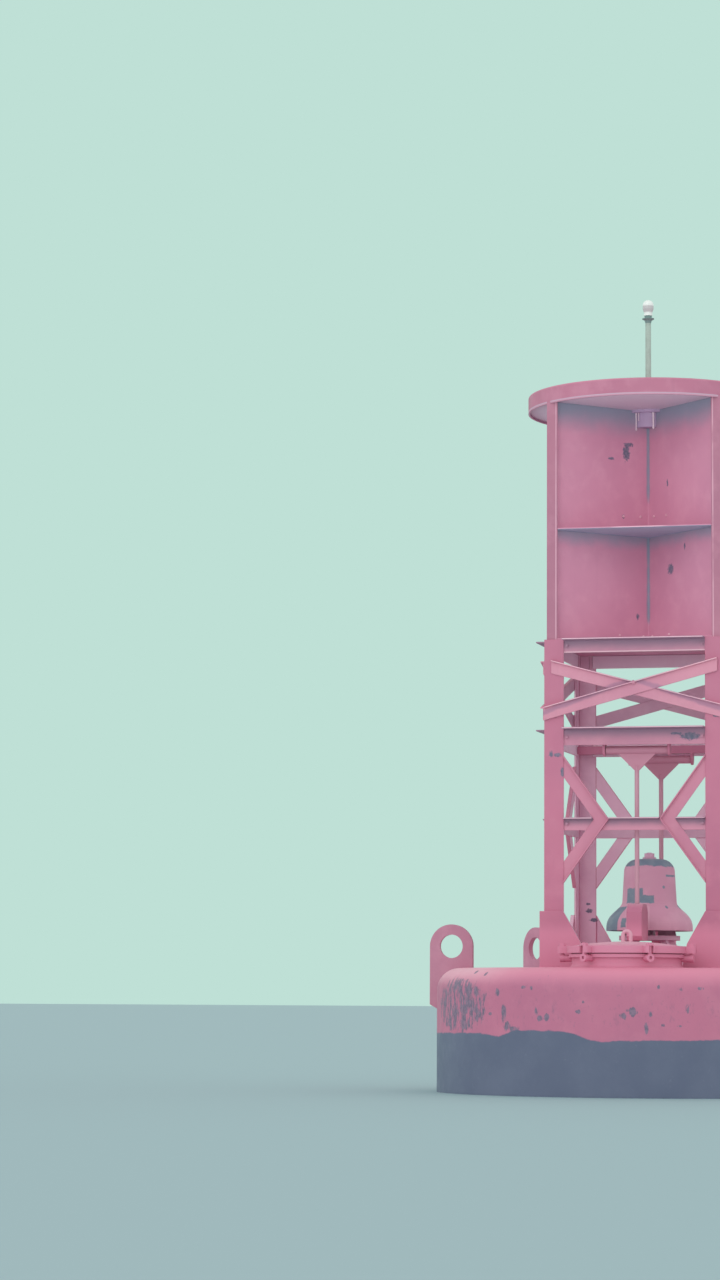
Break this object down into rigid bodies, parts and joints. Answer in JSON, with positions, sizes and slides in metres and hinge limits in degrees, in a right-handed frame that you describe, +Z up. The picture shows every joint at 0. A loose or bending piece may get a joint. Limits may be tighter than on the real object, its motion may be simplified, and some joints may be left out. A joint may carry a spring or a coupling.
{
  "type": "lighted bell buoy",
  "caption": "Steel lighted bell buoy: drum hull, square braced tower, crossed radar reflector, bell with swinging tappers, small lantern.",
  "frame": {"origin": "on the buoy's vertical axis at the waterline", "axes": "+Z up along the mast, -Y the tower face toward the picture's camera, +X to its right"},
  "size_m": [2.58, 2.438, 7.929],
  "materials": {
    "red_paint": "weathered satin",
    "hull_paint": "weathered satin, black boot-top from the waterline up",
    "bottom_paint": "dull antifouling",
    "bell_paint": "worn paint over dark bronze",
    "lantern_grey": "satin",
    "mast_grey": "galvanised, dull",
    "lens": "milky clear"
  },
  "bodies": {
    "buoy": {"hull": "hull_paint", "counterweight_tube": "bottom_paint", "counterweight": "bottom_paint", "mooring_lug_front": "bottom_paint", "mooring_lug_rear": "bottom_paint", "lifting_lug_right": "red_paint", "lifting_lug_rear_left": "red_paint", "lifting_lug_left": "red_paint", "lifting_lug_front_right": "red_paint", "leg_front_left": "red_paint", "leg_front_right": "red_paint", "leg_rear_right": "red_paint", "leg_rear_left": "red_paint", "top_beam_front": "red_paint", "top_beam_right": "red_paint", "top_beam_rear": "red_paint", "top_beam_left": "red_paint", "lower_beam_front": "red_paint", "lower_beam_right": "red_paint", "lower_beam_rear": "red_paint", "lower_beam_left": "red_paint", "mid_bar_front": "red_paint", "mid_bar_right": "red_paint", "mid_bar_rear": "red_paint", "mid_bar_left": "red_paint", "x_brace_front": "red_paint", "x_brace_right": "red_paint", "x_brace_rear": "red_paint", "x_brace_left": "red_paint", "k_brace_front": "red_paint", "k_brace_right": "red_paint", "k_brace_rear": "red_paint", "k_brace_left": "red_paint", "reflector_post_front_left": "red_paint", "reflector_post_front_right": "red_paint", "reflector_post_rear_right": "red_paint", "reflector_post_rear_left": "red_paint", "reflector_bottom_plate": "red_paint", "reflector_mid_plate": "red_paint", "reflector_panel_main": "red_paint", "reflector_panel_cross": "red_paint", "top_disc": "red_paint", "mast_foot": "red_paint", "mast": "mast_grey", "lantern_collar": "lantern_grey", "lantern_lens": "lens", "bell_stand": "red_paint", "bell": "bell_paint", "bell_nut": "red_paint", "tapper_hanger_front": "red_paint", "tapper_hanger_rear": "red_paint", "hatch_coaming_front": "red_paint", "hatch_coaming_rear": "red_paint", "hatch_lid_front": "red_paint", "hatch_lid_rear": "red_paint", "hatch_dogs_front": "red_paint", "hatch_dogs_rear": "red_paint"},
    "front_tapper": {"tapper_front": "red_paint"},
    "rear_tapper": {"tapper_rear": "red_paint"}
  },
  "joints": [
    {"name": "front_tapper_swing", "type": "hinge", "parent": "buoy", "child": "front_tapper", "pos_m": [0, -0.42, 1.934], "axis": [1, 0, 0], "range_deg": [-6, 3.4]},
    {"name": "rear_tapper_swing", "type": "hinge", "parent": "buoy", "child": "rear_tapper", "pos_m": [0, 0.42, 1.934], "axis": [-1, 0, 0], "range_deg": [-6, 3.4]}
  ]
}
